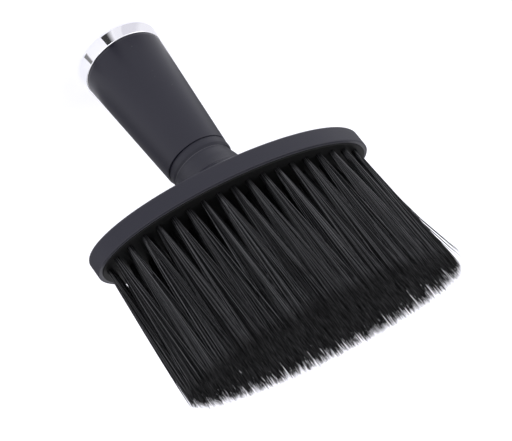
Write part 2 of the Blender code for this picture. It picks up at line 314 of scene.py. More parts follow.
@dataclass(frozen=True)
class SoftTouchCoat:
    """Rubbery lacquer on the grip: satin, with faint handling marks and a little dust."""

    name: str = "soft_touch_coat"
    dark: Colour = (0.0070, 0.0066, 0.0150)
    light: Colour = (0.0115, 0.0110, 0.0195)
    dust: Colour = grey(0.06)
    dust_share: float = 0.5
    dust_scale: float = 900.0
    dust_level: float = 0.86
    roughness: float = 0.34
    roughness_swing: float = 0.16
    specular: float = 0.37
    smudge_scale: float = 60.0
    grain_scale: float = 3200.0
    grain_depth: float = 0.03 * MM
    grain_strength: float = 0.35

    def build(self) -> bpy.types.Material:
        """Makes the material."""
        sheet = Sheet(self.name)
        smudge = sheet.noise(self.smudge_scale, 3.0)
        lint = sheet.specks(self.dust_scale, self.dust_level)
        base = sheet.blend(smudge, self.dark, self.light)
        sheet.bump(sheet.noise(self.grain_scale, 3.0), self.grain_depth, self.grain_strength)
        return sheet.set(
            Base_Color=sheet.blend(lint * self.dust_share, base, self.dust),
            Roughness=self.roughness + smudge.swing(self.roughness_swing),
            Specular_IOR_Level=self.specular,
        )


@dataclass(frozen=True)
class MouldedPlastic:
    """Black moulded plastic: a fine spark-eroded grain, slightly polished edges and specks of dust. The
    convex edges are painted lighter, partly as wear and partly as a painted highlight.
    """

    name: str = "moulded_black"
    dark: Colour = (0.0066, 0.0063, 0.0145)
    light: Colour = (0.0105, 0.0102, 0.0185)
    # Colour of the convex edges: partly wear, partly a painted highlight.
    edge: Colour = (0.150, 0.150, 0.160)
    edge_share: float = 0.7
    edge_polish: float = 0.08
    dust: Colour = grey(0.30)
    dust_scale: float = 650.0
    dust_level: float = 0.865
    roughness: float = 0.40
    roughness_swing: float = 0.12
    specular: float = 0.36
    cloud_scale: float = 45.0
    grain_scale: float = 4200.0
    ripple_scale: float = 2600.0
    grain_depth: float = 0.02 * MM
    grain_strength: float = 0.4

    def build(self) -> bpy.types.Material:
        """Makes the material."""
        sheet = Sheet(self.name)
        cloud = sheet.noise(self.cloud_scale)
        # Convex edges, which take the lighter edge colour: partly wear, partly a painted highlight.
        worn_and_highlit_edges = sheet.edges()
        lint = sheet.specks(self.dust_scale, self.dust_level)
        base = sheet.blend(lint, sheet.blend(cloud, self.dark, self.light), self.dust)
        relief = sheet.grain(self.grain_scale) + sheet.noise(self.ripple_scale)
        sheet.bump(relief, self.grain_depth, self.grain_strength)
        return sheet.set(
            Base_Color=sheet.blend(worn_and_highlit_edges * self.edge_share, base, self.edge),
            Roughness=self.roughness + cloud.swing(self.roughness_swing) - worn_and_highlit_edges * self.edge_polish,
            Specular_IOR_Level=self.specular,
        )


@dataclass(frozen=True)
class ChromePlate:
    """Bright plating with faint polishing marks round the ring."""

    name: str = "chrome_plate"
    bright: Colour = (0.95, 0.95, 0.96)
    dull: Colour = (0.90, 0.90, 0.92)
    roughness: float = 0.035
    wipe_roughness: float = 0.12
    haze_scale: float = 90.0
    wipe_scale: float = 220.0
    wipe_stretch: Triple = (0.3, 0.3, 9.0)

    def build(self) -> bpy.types.Material:
        """Makes the material."""
        sheet = Sheet(self.name)
        haze = sheet.noise(self.haze_scale, 3.0)
        wipes = sheet.noise(self.wipe_scale, 4.0, self.wipe_stretch)
        return sheet.set(
            Base_Color=sheet.blend(haze, self.bright, self.dull),
            Metallic=1.0,
            Roughness=self.roughness + wipes * haze * self.wipe_roughness,
        )


@dataclass(frozen=True)
class MachinedMetal:
    """Turned or plated metal for the fasteners, with tool lines round the axis."""

    name: str
    bright: Colour
    dull: Colour
    roughness: float
    line_roughness: float = 0.15
    line_scale: float = 900.0
    line_stretch: Triple = (0.05, 0.05, 4.0)
    line_depth: float = 0.02 * MM
    line_strength: float = 0.3
    stain_scale: float = 150.0

    def build(self) -> bpy.types.Material:
        """Makes the material."""
        sheet = Sheet(self.name)
        lines = sheet.noise(self.line_scale, 3.0, self.line_stretch)
        stain = sheet.noise(self.stain_scale)
        sheet.bump(lines, self.line_depth, self.line_strength)
        return sheet.set(
            Base_Color=sheet.blend(stain, self.bright, self.dull),
            Metallic=1.0,
            Roughness=self.roughness + lines * self.line_roughness,
        )


@dataclass(frozen=True)
class NylonFilament:
    """Drawn black nylon: each filament has its own shade and shine, with painted shade near the root and
    the tip.

    The shine is a clear coat whose weight follows the filament's own shade. Near the root the shine is held
    down as painted shade, for the shadow among the filaments; near the tip colour and shine are both
    darkened as painted shade. The fields below give the shares of the length over which the shine comes up,
    at the root and at the tip, and the levels it comes up from.
    """

    name: str = "nylon_filament"
    dark: Colour = (0.0012, 0.0012, 0.0014)
    light: Colour = (0.0120, 0.0120, 0.0135)
    roughness: float = 0.42
    strand_roughness: float = 0.10
    specular: float = 0.10
    shine_roughness: float = 0.28
    shine_index: float = 1.85
    shine_contrast: float = 1.3
    # Root: share of the length over which the shine comes up, and its level at the root; painted shade.
    root_shadow_length: float = 0.03
    root_shadow_shine: float = 0.45
    # Tip: share of the length over which colour and shine come up, and their level at the tip; painted
    # shade.
    tip_shadow_length: float = 0.06
    tip_shadow_shine: float = 0.12
    strand_share: float = 0.75
    cloud_share: float = 0.35
    cloud_scale: float = 120.0
    cloud_stretch: Triple = (1.0, 1.0, 0.25)

    def build(self) -> bpy.types.Material:
        """Makes the material."""
        sheet = Sheet(self.name)
        # Each filament's own tone, which on the inner tufts also carries painted shade towards the root.
        strand = sheet.attribute("strand")
        along = sheet.attribute("along")
        # Shine held down near the root: painted shade.
        root = (along * (1.0 / self.root_shadow_length) + self.root_shadow_shine).clamped()
        # Colour and shine darkened towards the tip: painted shade.
        tip = ((1.0 - along) * (1.0 / self.tip_shadow_length) + self.tip_shadow_shine).clamped()
        cloud = sheet.noise(self.cloud_scale, 2.0, self.cloud_stretch)
        shade = (strand * self.strand_share + cloud * self.cloud_share).clamped() * tip
        return sheet.set(
            Base_Color=sheet.blend(shade, self.dark, self.light),
            Roughness=self.roughness + strand * self.strand_roughness,
            Specular_IOR_Level=self.specular,
            Coat_Weight=strand**self.shine_contrast * root * tip,
            Coat_Roughness=self.shine_roughness,
            Coat_IOR=self.shine_index,
        )


@dataclass(frozen=True)
class StudioPaper:
    """Pale seamless paper that the brush stands on."""

    name: str = "studio_paper"
    tone: Colour = (0.80, 0.80, 0.825)
    fibre_tone: Colour = (0.84, 0.84, 0.86)
    fibre_share: float = 0.15
    fibre_scale: float = 40.0
    roughness: float = 0.9
    specular: float = 0.1
    glow_colour: Colour = (1.0, 1.0, 1.05)
    glow: float = 0.27

    def build(self) -> bpy.types.Material:
        """Makes the material."""
        sheet = Sheet(self.name)
        fibre = sheet.noise(self.fibre_scale, 3.0)
        return sheet.set(
            Base_Color=sheet.blend(fibre * self.fibre_share, self.tone, self.fibre_tone),
            Roughness=self.roughness,
            Specular_IOR_Level=self.specular,
            Emission_Color=self.glow_colour,
            Emission_Strength=self.glow,
        )


# ---------------------------------------------------------------------------------------------
# Mesh making
# ---------------------------------------------------------------------------------------------


def direction(azimuth: float, elevation: float) -> Vector:
    """The direction from the brush to a place round it; azimuth 0 is on the -Y side."""
    a, e = math.radians(azimuth), math.radians(elevation)
    return Vector((math.sin(a) * math.cos(e), -math.cos(a) * math.cos(e), math.sin(e)))


def add_object(name: str, data: bpy.types.ID) -> bpy.types.Object:
    """Adds an object to the scene."""
    obj = bpy.data.objects.new(name, data)
    bpy.context.scene.collection.objects.link(obj)
    return obj


def fillet(corners: Sequence[Triple], closed: bool, steps: int = 5) -> Profile:
    """Rounds the corners of an outline.

    Args:
        corners: (radius from the axis, height, rounding radius) of each corner.
        closed: Whether the last corner joins the first.
        steps: Points on each rounded corner.

    Returns:
        The outline's points.
    """
    points: Profile = []
    count = len(corners)
    for i, (r, z, rounding) in enumerate(corners):
        here = Vector((r, z))
        ends = (i == 0 or i == count - 1) and not closed
        if ends or rounding <= 0:
            points.append((r, z))
            continue
        before = (Vector(corners[i - 1][:2]) - here).normalized()
        after = (Vector(corners[(i + 1) % count][:2]) - here).normalized()
        half = before.angle(after) / 2
        reach = rounding / math.tan(half)
        centre = here + (before + after).normalized() * (rounding / math.sin(half))
        start = here + before * reach - centre
        stop = here + after * reach - centre
        for k in range(steps):
            share = k / (steps - 1)
            spoke = (start * (1 - share) + stop * share).normalized() * rounding
            points.append(tuple(centre + spoke))
    return points


def mesh_from(
    name: str, points: Iterable[Sequence[float]], faces: Iterable[Sequence[int]]
) -> bpy.types.Mesh:
    """Makes a mesh with its faces turned outwards and shaded smooth.

    Args:
        name: The mesh's name.
        points: Vertex places.
        faces: Vertex numbers of each face.

    Returns:
        The mesh.
    """
    mesh = bpy.data.meshes.new(name)
    mesh.from_pydata([tuple(p) for p in points], [], [tuple(f) for f in faces])
    bm = bmesh.new()
    bm.from_mesh(mesh)
    bmesh.ops.recalc_face_normals(bm, faces=bm.faces)
    bm.to_mesh(mesh)
    bm.free()
    mesh.shade_smooth()
    return mesh


def revolve(
    name: str, profile: Profile, closed: bool, steps: int = 160, on_axis: float = 1e-7
) -> bpy.types.Mesh:
    """Turns an outline about Z.

    Args:
        name: The mesh's name.
        profile: (radius, height) points.
        closed: Whether the last point joins the first.
        steps: Sides of the turned piece.
        on_axis: Radius up to which a point is one vertex on the axis.

    Returns:
        The mesh.
    """
    points: list[Triple] = []
    rings: list[list[int]] = []
    for r, z in profile:
        start = len(points)
        sides = steps if r > on_axis else 1
        for k in range(sides):
            turn = 2 * math.pi * k / sides
            points.append((r * math.cos(turn), r * math.sin(turn), z))
        rings.append(list(range(start, start + sides)))
    pairs = list(zip(rings, rings[1:]))
    if closed:
        pairs.append((rings[-1], rings[0]))
    faces = []
    for low, high in pairs:
        for k in range(steps):
            j = (k + 1) % steps
            loop = [low[k % len(low)], low[j % len(low)], high[j % len(high)], high[k % len(high)]]
            faces.append(list(dict.fromkeys(loop)))
    return mesh_from(name, points, faces)


class Ends(Enum):
    """What a loft does with its first and last rings."""

    CAPPED = "closed with flat faces"
    JOINED = "joined to each other"


def loft(name: str, rings: Sequence[np.ndarray], ends: Ends) -> bpy.types.Mesh:
    """Skins rings that have the same number of points.

    Args:
        name: The mesh's name.
        rings: Arrays of points, one row each.
        ends: What happens at the first and last rings.

    Returns:
        The mesh.
    """
    count = len(rings[0])
    total = len(rings) * count
    layers = len(rings) if ends is Ends.JOINED else len(rings) - 1
    faces: list[Sequence[int]] = []
    for layer in range(layers):
        low, high = layer * count, (layer + 1) * count % total
        for i in range(count):
            j = (i + 1) % count
            faces.append((low + i, low + j, high + j, high + i))
    if ends is Ends.CAPPED:
        faces += [range(count), range(total - count, total)]
    return mesh_from(name, np.concatenate(rings), faces)


def oval(half_a: float, half_b: float, z: float, count: int) -> np.ndarray:
    """Points round an oval at one height."""
    turns = np.arange(count) * 2 * math.pi / count
    return np.stack([half_a * np.cos(turns), half_b * np.sin(turns), np.full(count, z)], axis=1)


def smooth_rows(rows: Sequence[Sequence[float]], per_span: int) -> np.ndarray:
    """Runs a smooth curve through rows of numbers.

    Args:
        rows: The rows to pass through.
        per_span: Points on each span between two rows.

    Returns:
        The denser rows.
    """
    knots = np.array(rows, float)
    chord = np.concatenate([[0.0], np.cumsum(np.linalg.norm(np.diff(knots, axis=0), axis=1) ** 0.5)])
    slope = np.gradient(knots, chord, axis=0)
    out = []
    for i in range(len(knots) - 1):
        width = chord[i + 1] - chord[i]
        for k in range(per_span):
            t = k / per_span
            out.append(
                (2 * t**3 - 3 * t**2 + 1) * knots[i]
                + (t**3 - 2 * t**2 + t) * width * slope[i]
                + (3 * t**2 - 2 * t**3) * knots[i + 1]
                + (t**3 - t**2) * width * slope[i + 1]
            )
    out.append(knots[-1])
    return np.array(out)


def applied(obj: bpy.types.Object) -> bpy.types.Object:
    """Applies an object's modifiers to its mesh.

    Args:
        obj: The object.

    Returns:
        The same object, with no modifiers left.
    """
    graph = bpy.context.evaluated_depsgraph_get()
    mesh = bpy.data.meshes.new_from_object(obj.evaluated_get(graph))
    obj.modifiers.clear()
    obj.data = mesh
    return obj


def even_normals(
    obj: bpy.types.Object, sharp_degrees: float = 40.0, weight: int = 80
) -> bpy.types.Object:
    """Weighs the normals by face size, so that flats stay flat and small roundings catch the light.

    Args:
        obj: The object.
        sharp_degrees: Edges that turn by more than this stay sharp.
        weight: How strongly the larger faces lead, from 1 to 100.

    Returns:
        The same object.
    """
    obj.data.set_sharp_from_angle(angle=math.radians(sharp_degrees))
    weigh = obj.modifiers.new("Even normals", "WEIGHTED_NORMAL")
    weigh.keep_sharp = True
    weigh.weight = weight
    return applied(obj)


@dataclass
class Piece:
    """One shown piece, and the frame nodes that it stands for."""

    name: str
    slot: Slot
    nodes: tuple[str, ...]

    def place(self, mesh: bpy.types.Mesh, material: bpy.types.Material) -> bpy.types.Object:
        """Makes the object, gives it its material and hides the frame nodes that it stands for.

        Args:
            mesh: The piece's mesh.
            material: Its finish.

        Returns:
            The new object, which doesn't ride on a body yet.
        """
        obj = add_object(self.name, mesh)
        mesh.materials.append(material)
        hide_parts(*self.nodes)
        log.info("%s: %d faces", self.name, len(mesh.polygons))
        return obj


def dress_node(name: str, material: bpy.types.Material) -> None:
    """Gives a finish to a frame node that stays as it is.

    Args:
        name: The node.
        material: Its finish.
    """
    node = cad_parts[name]
    if not node.material_slots:
        node.data.materials.append(material)
    for held in node.material_slots:
        held.material = material
    log.info("%s: frame node with %s", name, material.name)


# ---------------------------------------------------------------------------------------------
# Handle
# ---------------------------------------------------------------------------------------------


@dataclass
class Handle:
    """The chromed ring, the end plug, the grip, the collar and the fasteners inside."""

    chrome: ChromePlate = ChromePlate()
    coat: SoftTouchCoat = SoftTouchCoat()
    plastic: MouldedPlastic = MouldedPlastic()
    inner: MouldedPlastic = MouldedPlastic(
        "inner_black", grey(0.006), grey(0.010), edge=grey(0.02), dust=grey(0.05), roughness=0.5
    )
    steel: MachinedMetal = MachinedMetal("zinc_steel", (0.66, 0.66, 0.68), grey(0.5), 0.24)
    brass: MachinedMetal = MachinedMetal("brass", (0.80, 0.62, 0.30), (0.6, 0.45, 0.2), 0.22)
    ring_top_radius: float = 16.5 * MM
    ring_bore: float = 14.5 * MM
    ring_lip: float = 12.0 * MM
    ring_lip_depth: float = 1.3 * MM
    ring_foot: Pair = (0.5 * MM, 0.9 * MM)
    plug_wall: float = 1.6 * MM
    plug_stem: float = 5.9 * MM
    plug_bevel: Pair = (0.9 * MM, 0.1 * MM)
    plug_dimple: Pair = (2.2 * MM, 3.0 * MM)
    plug_dimple_depth: float = 0.35 * MM
    grip_top_radius: float = 12.7 * MM
    grip_wall: float = 1.8 * MM
    grip_seat: float = 0.22 * MM
    grip_shoulder: Pair = (0.2 * MM, 1.0 * MM)
    grip_ease: float = 0.02 * MM
    collar_bore: float = 9.9 * MM
    collar_seat: float = 0.30 * MM
    collar_foot: float = 0.58 * MM
    collar_slope: Pair = (0.45 * MM, 0.9 * MM)
    cove_depth: float = 0.08 * MM
    cove_heights: Pair = (0.4 * MM, 1.5 * MM)
    collar_shift: float = 0.28 * MM
    collar_shift_azimuth: float = -95.0

    def build(self) -> None:
        """Builds and dresses every piece of the handle."""
        self.build_ring()
        self.build_plug()
        self.build_grip()
        self.build_collar()
        self.dress_inside()

    def _add(self, node: str, slot: Slot, mesh: bpy.types.Mesh, finish: Any) -> None:
        """Places a turned piece and lets it ride on the head."""
        obj = Piece(f"{node}_skin", slot, (node,)).place(mesh, finish.build())
        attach(even_normals(obj), Body.HEAD.value)

    def build_ring(self) -> None:
        """The plated ring, with a soft edge at each end of its wall."""
        low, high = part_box("chrome_ring")
        inset, rise = self.ring_foot
        corners = [
            (self.ring_bore, high.z, 0.1 * MM),
            (self.ring_top_radius, high.z, 0.35 * MM),
            (high.x, low.z + rise, 0.6 * MM),
            (high.x - inset, low.z, 0.35 * MM),
            (self.ring_lip, low.z, 0.15 * MM),
            (self.ring_lip, low.z + self.ring_lip_depth, 0.1 * MM),
            (self.ring_bore, low.z + self.ring_lip_depth, 0.1 * MM),
        ]
        mesh = revolve("chrome_ring_skin", fillet(corners, closed=True), closed=True)
        self._add("chrome_ring", Slot.CHROME, mesh, self.chrome)

    def build_plug(self) -> None:
        """The black disc inside the ring, with its stem."""
        low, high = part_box("end_plug")
        disc_top = low.z + self.plug_wall
        stem_bore = self.plug_stem - self.plug_wall
        stem_floor = disc_top + self.plug_wall
        bevel_in, bevel_up = self.plug_bevel
        dimple_in, dimple_out = self.plug_dimple
        dimple_z = low.z + self.plug_dimple_depth
        corners = [
            (0.0, stem_floor, 0.0),
            (stem_bore, stem_floor, 0.2 * MM),
            (stem_bore, high.z, 0.2 * MM),
            (self.plug_stem, high.z, 0.2 * MM),
            (self.plug_stem, disc_top, 0.1 * MM),
            (high.x, disc_top, 0.15 * MM),
            (high.x, low.z + bevel_up, 0.25 * MM),
            (high.x - bevel_in, low.z, 0.3 * MM),
            (dimple_out, low.z, 0.4 * MM),
            (dimple_in, dimple_z, 0.4 * MM),
            (0.0, dimple_z, 0.0),
        ]
        mesh = revolve("end_plug_skin", fillet(corners, closed=False), closed=False)
        self._add("end_plug", Slot.INNER, mesh, self.inner)

    def build_grip(self) -> None:
        """The tapered grip, with a small shoulder where it meets the ring."""
        low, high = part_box("handle_sleeve")
        bore = high.x - self.grip_wall
        foot = low.z - self.grip_seat
        inset, rise = self.grip_shoulder
        corners = [
            (self.grip_top_radius - self.grip_wall, high.z, 0.1 * MM),
            (self.grip_top_radius, high.z, 0.22 * MM),
            (high.x - self.grip_ease, low.z + rise, 0.8 * MM),
            (high.x - inset, foot, 0.12 * MM),
            (bore, foot, 0.1 * MM),
        ]
        mesh = revolve("handle_sleeve_skin", fillet(corners, closed=True), closed=True)
        self._add("handle_sleeve", Slot.GRIP, mesh, self.coat)

    def build_collar(self) -> None:
        """The ring between the grip and the neck: a cove on the grip side, nearly closed on the other."""
        low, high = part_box("neck_collar")
        top = high.z + self.collar_seat
        foot = low.z - self.collar_foot
        slope_in, slope_down = self.collar_slope
        waist = high.x - self.cove_depth
        cove_low, cove_high = self.cove_heights
        corners = [
            (self.collar_bore, top, 0.1 * MM),
            (high.x - slope_in, top, 0.1 * MM),
            (high.x, high.z - slope_down, 0.9 * MM),
            (high.x, low.z + cove_high, 0.9 * MM),
            (waist, low.z + cove_low, 0.7 * MM),
            (waist, foot, 0.1 * MM),
            (self.collar_bore, foot, 0.1 * MM),
        ]
        mesh = revolve("neck_collar_skin", fillet(corners, closed=True), closed=True)
        mesh.transform(Matrix.Translation(direction(self.collar_shift_azimuth, 0.0) * self.collar_shift))
        self._add("neck_collar", Slot.SHELL, mesh, self.plastic)

    def dress_inside(self) -> None:
        """Finishes for the hidden core and fasteners."""
        steel = self.steel.build()
        dress_node("handle_core", self.inner.build())
        dress_node("clamp_screw", steel)
        dress_node("screw_washer", steel)
        dress_node("threaded_insert", self.brass.build())


# ---------------------------------------------------------------------------------------------
# Tuft layout, shared by the block's holes and the bristles
# ---------------------------------------------------------------------------------------------


@dataclass(frozen=True)
class Root:
    """One tuft: where it stands on the block's face and where its tips are."""

    centre: Vector
    along: Vector
    outward: Vector
    tip_centre: Vector
    tip_along: Vector
    tip_outward: Vector


@dataclass(frozen=True)
class Layout:
    """Where the tufts stand: an outer ring, and rows across the head inside it."""

    outer_count: int = 38
    root_ring: Pair = (53.2 * MM, 17.0 * MM)
    tip_ring: Pair = (54.7 * MM, 16.3 * MM)
    rows: int = 12
    row_pitch: float = 8.0 * MM
    row_pitch_tip: float = 8.5 * MM
    leg_pitch: float = 5.8 * MM
    row_oval: Pair = (50.0 * MM, 11.4 * MM)
    row_oval_tip: Pair = (51.6 * MM, 13.1 * MM)
    row_margin: float = 1.3 * MM

    @staticmethod
    def ring_point(half_axes: Pair, share: float, samples: int = 4001) -> tuple[Vector, Vector]:
        """Finds a point on an oval.

        Args:
            half_axes: The oval's half length and half width.
            share: How far round it the point is, as a share of its whole length.
            samples: Steps in which the length is measured.

        Returns:
            The point and its outward direction.
        """
        half_a, half_b = half_axes
        turns = np.linspace(0.0, 2 * math.pi, samples)
        steps = np.hypot(half_a * np.sin(turns), half_b * np.cos(turns))
        run = np.concatenate([[0.0], np.cumsum((steps[1:] + steps[:-1]) / 2)])
        turn = float(np.interp(share % 1.0, run / run[-1], turns))
        x, y = half_a * math.cos(turn), half_b * math.sin(turn)
        return Vector((x, y, 0.0)), Vector((x / half_a**2, y / half_b**2, 0.0)).normalized()

    def outer(self) -> list[Root]:
        """Places the tufts of the outer ring.

        Returns:
            The tufts, in the frame's order.
        """
        roots = []
        for i in range(self.outer_count):
            centre, outward = self.ring_point(self.root_ring, i / self.outer_count)
            tip, tip_outward = self.ring_point(self.tip_ring, i / self.outer_count)
            along = Vector((-outward.y, outward.x, 0.0))
            tip_along = Vector((-tip_outward.y, tip_outward.x, 0.0))
            roots.append(Root(centre, along, outward, tip, tip_along, tip_outward))
        return roots

    def row(self, number: int) -> list[Root]:
        """Places the tufts of one inner row.

        Args:
            number: The row, from 0 at the left end.

        Returns:
            The row's tufts.
        """
        offset = number - (self.rows - 1) / 2
        x, x_tip = offset * self.row_pitch, offset * self.row_pitch_tip
        half = self.row_oval[1] * math.sqrt(1 - (x / self.row_oval[0]) ** 2)
        count = max(1, int(2 * (half - self.row_margin) / self.leg_pitch) + 1)
        widen = self.row_oval_tip[1] / self.row_oval[1]
        east, north = Vector((1, 0, 0)), Vector((0, 1, 0))
        roots = []
        for i in range(count):
            y = (i - (count - 1) / 2) * self.leg_pitch
            tip = Vector((x_tip, y * widen, 0.0))
            roots.append(Root(Vector((x, y, 0.0)), east, north, tip, east, north))
        return roots

    def centres(self) -> list[Vector]:
        """Finds where the block is drilled.

        Returns:
            The centre of every hole in its face.
        """
        roots = self.outer()
        for number in range(self.rows):
            roots += self.row(number)
        return [root.centre for root in roots]


# ---------------------------------------------------------------------------------------------
# Head
# ---------------------------------------------------------------------------------------------


@dataclass
class Head:
    """The oval cover with its neck, and the block that holds the tufts."""

    layout: Layout
    plastic: MouldedPlastic = MouldedPlastic()
    block_plastic: MouldedPlastic = MouldedPlastic(
        "block_black", grey(0.0050), grey(0.0080), edge=grey(0.015), dust=grey(0.05),
        roughness=0.46, specular=0.14, grain_scale=2600.0,
    )
    sides: int = 224
    neck_radius: float = 12.0 * MM
    # Growth of the neck in mm: height above its foot, and how far the radius has grown there.
    flare: tuple[Pair, ...] = ((0.0, 0.0), (0.7, 0.0), (2.0, 0.35), (4.0, 0.95), (6.4, 1.6), (8.8, 2.5))
    # Crown and its edge in mm: depth below the lip, inset from the half length, inset from the half width.
    crown: tuple[Triple, ...] = (
        (12.6, 41, 7.2), (11.0, 37, 6.0), (10.0, 26, 4.4), (9.0, 14, 2.7), (8.3, 5, 1.5),
        (7.9, 1.25, 0.95), (7.45, 0.35, 0.3), (6.9, 0.03, 0.03),
    )
    # Sections of the upright rim: depth below the lip in mm.
    rim_depths: Triple = (6.7, 3.5, 0.5)
    lip_round: float = 0.42 * MM
    wall: float = 1.3 * MM
    lip_chamfer: float = 0.05 * MM
    wall_taper: float = 0.4 * MM
    pocket_depth: float = 5.6 * MM
    block_thickness: float = 6.3 * MM
    block_edge: float = 0.2 * MM
    post_radius: float = 9.6 * MM
    post_fillet: float = 1.0 * MM
    hole_radius: float = 1.2 * MM
    hole_depth: float = 5.0 * MM
    drill_overrun: float = 1.0 * MM

    def build(self) -> None:
        """Builds and dresses the cover and the block."""
        self.build_cover()
        self.build_block()

    def cover_rows(self) -> np.ndarray:
        """Lists the sections of the cover's outside.

        Returns:
            Rows of height, half length and half width, from the neck's foot to the lip.
        """
        low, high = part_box("head_cover")
        neck = self.neck_radius
        rows = [(low.z + z * MM, neck + r * MM, neck + r * MM) for z, r in self.flare]
        rows += [(high.z - d * MM, high.x - a * MM, high.y - b * MM) for d, a, b in self.crown]
        curve = smooth_rows(rows, per_span=5)
        wall = [(high.z - d * MM, high.x, high.y) for d in self.rim_depths]
        lip = []
        for drop, inset in self.quarter_round(self.lip_round)[1:]:
            lip.append((high.z - drop, high.x - inset, high.y - inset))
        return np.concatenate([curve, wall, lip])

    @staticmethod
    def quarter_round(radius: float, steps: int = 6) -> list[Pair]:
        """(drop, inset) of the points on a rounded upper edge, from its side to its top."""
        turns = [math.pi / 2 * k / steps for k in range(steps + 1)]
        return [(radius * (1 - math.sin(t)), radius * (1 - math.cos(t))) for t in turns]

    def ring(self, half_a: float, half_b: float, z: float) -> np.ndarray:
        """One ring of the loft."""
        return oval(half_a, half_b, z, self.sides)

    def build_cover(self) -> None:
        """The cover: a thin shell with a soft edge at the crown and a fine round at the lip."""
        outside = self.cover_rows()
        rings = [self.ring(a, b, z) for z, a, b in outside]
        neck, bore = self.neck_radius, self.neck_radius - self.wall
        lip_z, lip_a, lip_b = outside[-1]
        inner_a, inner_b = lip_a - self.wall, lip_b - self.wall
        chamfer = self.lip_chamfer
        side = outside[-8]
        deep_a, deep_b = (half - self.wall - self.wall_taper for half in side[1:])
        crown_z = lip_z - self.pocket_depth
        # Down the inside: the lip, the pocket for the block, the underside of the crown, the neck's bore.
        rings += [
            self.ring(inner_a + chamfer, inner_b + chamfer, lip_z),
            self.ring(inner_a, inner_b, lip_z - 2 * chamfer),
            self.ring(deep_a, deep_b, lip_z - 0.6 * MM),
            self.ring(deep_a, deep_b, crown_z - 0.5 * MM),
            self.ring(deep_a - 3.0 * MM, deep_b - 1.5 * MM, crown_z - 1.3 * MM),
            self.ring(neck + 3.0 * MM, neck + 2.6 * MM, crown_z - 4.6 * MM),
            self.ring(neck, neck, crown_z - 8.4 * MM),
            self.ring(bore, bore, outside[0][0] + 3.0 * MM),
            self.ring(bore, bore, outside[0][0]),
        ]
        mesh = loft("head_cover_skin", rings, Ends.JOINED)
        obj = Piece("head_cover_skin", Slot.SHELL, ("head_cover",)).place(mesh, self.plastic.build())
        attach(even_normals(obj), Body.HEAD.value)

    def build_block(self) -> None:
        """The tuft block: a rounded oval plate on a post, drilled for every tuft."""
        low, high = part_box("tuft_block")
        base = high.z - self.block_thickness
        post, foot = self.post_radius, self.post_radius + self.post_fillet
        rings = [
            self.ring(post, post, low.z),
            self.ring(post, post, base - self.post_fillet),
            self.ring(foot, foot, base),
            self.ring(high.x - 1.2 * MM, high.y - 1.2 * MM, base),
            self.ring(high.x, high.y, base + 0.8 * MM),
        ]
        for drop, inset in self.quarter_round(self.block_edge):
            rings.append(self.ring(high.x - inset, high.y - inset, high.z - drop))
        mesh = loft("tuft_block_skin", rings, Ends.CAPPED)
        obj = Piece("tuft_block_skin", Slot.INNER, ("tuft_block",)).place(mesh, self.block_plastic.build())
        drill = add_object("drill", self.drill_mesh(high.z))
        cut = obj.modifiers.new("Holes", "BOOLEAN")
        cut.operation = "DIFFERENCE"
        cut.solver = "EXACT"
        cut.object = drill
        applied(obj)
        bpy.data.objects.remove(drill)
        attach(even_normals(obj, sharp_degrees=30.0), Body.HEAD.value)

    def drill_mesh(self, face: float) -> bpy.types.Mesh:
        """One mesh with a cutter for every tuft hole.

        Args:
            face: Height of the block's face.

        Returns:
            The cutters.
        """
        bm = bmesh.new()
        radius, depth = self.hole_radius, self.hole_depth + self.drill_overrun
        middle = face + self.drill_overrun - depth / 2
        for centre in self.layout.centres():
            made = bmesh.ops.create_cone(
                bm, cap_ends=True, segments=20, radius1=radius, radius2=radius, depth=depth
            )
            bmesh.ops.translate(bm, verts=made["verts"], vec=(centre.x, centre.y, middle))
        mesh = bpy.data.meshes.new("drill")
        bm.to_mesh(mesh)
        bm.free()
        return mesh


# ---------------------------------------------------------------------------------------------
# Bristles
# ---------------------------------------------------------------------------------------------


@dataclass(frozen=True)
class TuftForm:
    """How the filaments of one kind of tuft spread.

    Its sizes are half the tuft's length and depth at the tips. Filaments gather into locks, and their
    tips close up on the lock's middle by the share gather. A share of the locks may stray, by about
    stray_reach. The tone at the root, as a share of the tone at the tip, darkens the roots as painted
    shade, for the shadow that the outer tufts cast on the inner ones.
    """

    filaments: int
    half_along: float
    half_across: float
    locks: int = 50
    gather: float = 0.26
    stray_share: float = 0.0
    stray_reach: float = 1.5 * MM
    root_shadow_tone: float = 1.0


